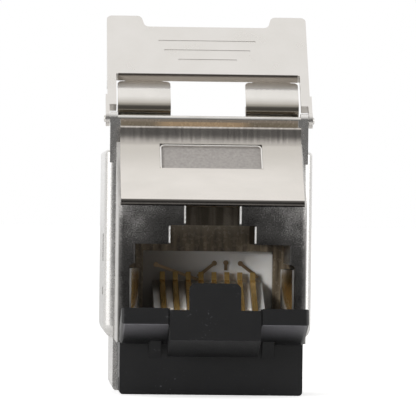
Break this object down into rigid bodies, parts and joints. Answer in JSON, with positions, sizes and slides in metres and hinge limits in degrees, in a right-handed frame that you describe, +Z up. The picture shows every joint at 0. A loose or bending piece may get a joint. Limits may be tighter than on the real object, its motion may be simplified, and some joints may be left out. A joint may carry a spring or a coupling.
{
  "type": "keystone jack",
  "caption": "Shielded keystone jack with a port for a modular plug, hinged metal lid over its wire manager, sprung panel latch and a black dust flap below the port.",
  "frame": {"origin": "on the port's axis, in the plane of the front face", "axes": "+X across the jack to the right as seen from the port, +Y from the port towards the cable, +Z up, with the plug's latch uppermost"},
  "size_m": [0.0166, 0.0315, 0.0298],
  "materials": {
    "cast_metal": "nickel-plated zinc casting, satin outside, grainy on the front face",
    "latch_metal": "nickel-plated, satin",
    "lid_metal": "nickel-plated, fine satin",
    "spring_steel": "bright spring sheet",
    "pin_steel": "bright turned pin",
    "clamp_metal": "nickel-plated, satin",
    "black_plastic": "moulded, fine matt",
    "insert_plastic": "moulded, semi-gloss",
    "white_plastic": "moulded, satin",
    "board_laminate": "glass-fibre laminate with solder resist",
    "gold": "gold-plated spring wire",
    "blade_bronze": "tinned bronze sheet"
  },
  "bodies": {
    "housing": {"front_housing": "cast_metal", "rear_housing": "cast_metal", "base_block": "black_plastic", "lid_hinge_pin": "pin_steel", "dust_flap_pin": "pin_steel", "contact_insert": "insert_plastic", "shield_spring_left": "spring_steel", "shield_spring_right": "spring_steel", "circuit_board": "board_laminate", "idc_housing": "white_plastic", "earth_spring": "spring_steel", "contact_1": "gold", "contact_2": "gold", "contact_3": "gold", "contact_4": "gold", "contact_5": "gold", "contact_6": "gold", "contact_7": "gold", "contact_8": "gold", "idc_blade_1": "blade_bronze", "idc_blade_2": "blade_bronze", "idc_blade_3": "blade_bronze", "idc_blade_4": "blade_bronze", "idc_blade_5": "blade_bronze", "idc_blade_6": "blade_bronze", "idc_blade_7": "blade_bronze", "idc_blade_8": "blade_bronze", "crossover_wire_1": "blade_bronze", "crossover_wire_2": "blade_bronze", "crossover_wire_3": "blade_bronze", "crossover_wire_4": "blade_bronze"},
    "lid_assembly": {"lid": "lid_metal", "lid_spring": "spring_steel"},
    "flap": {"dust_flap": "black_plastic"},
    "latch": {"latch_leaf": "latch_metal"},
    "manager": {"wire_manager": "white_plastic"},
    "clamp": {"cable_clamp": "clamp_metal"}
  },
  "joints": [
    {"name": "lid_hinge", "type": "hinge", "parent": "housing", "child": "lid_assembly", "pos_m": [0, 0.0085, 0.01315], "axis": [1, 0, 0], "range_deg": [-55, 30]},
    {"name": "flap_hinge", "type": "hinge", "parent": "housing", "child": "flap", "pos_m": [0, -0.00055, -0.0035], "axis": [-1, 0, 0], "range_deg": [-40, 74.5]},
    {"name": "latch_flex", "type": "hinge", "parent": "housing", "child": "latch", "pos_m": [0, 0.00036, 0.0066], "axis": [-1, 0, 0], "range_deg": [0, 6], "stiffness_Nm_per_rad": 0.5},
    {"name": "manager_lift", "type": "slide", "parent": "housing", "child": "manager", "axis": [0, 0, 1], "range_m": [0, 0.0024]},
    {"name": "clamp_press", "type": "slide", "parent": "housing", "child": "clamp", "axis": [0, 0, -1], "range_m": [0, 0.0024]}
  ]
}
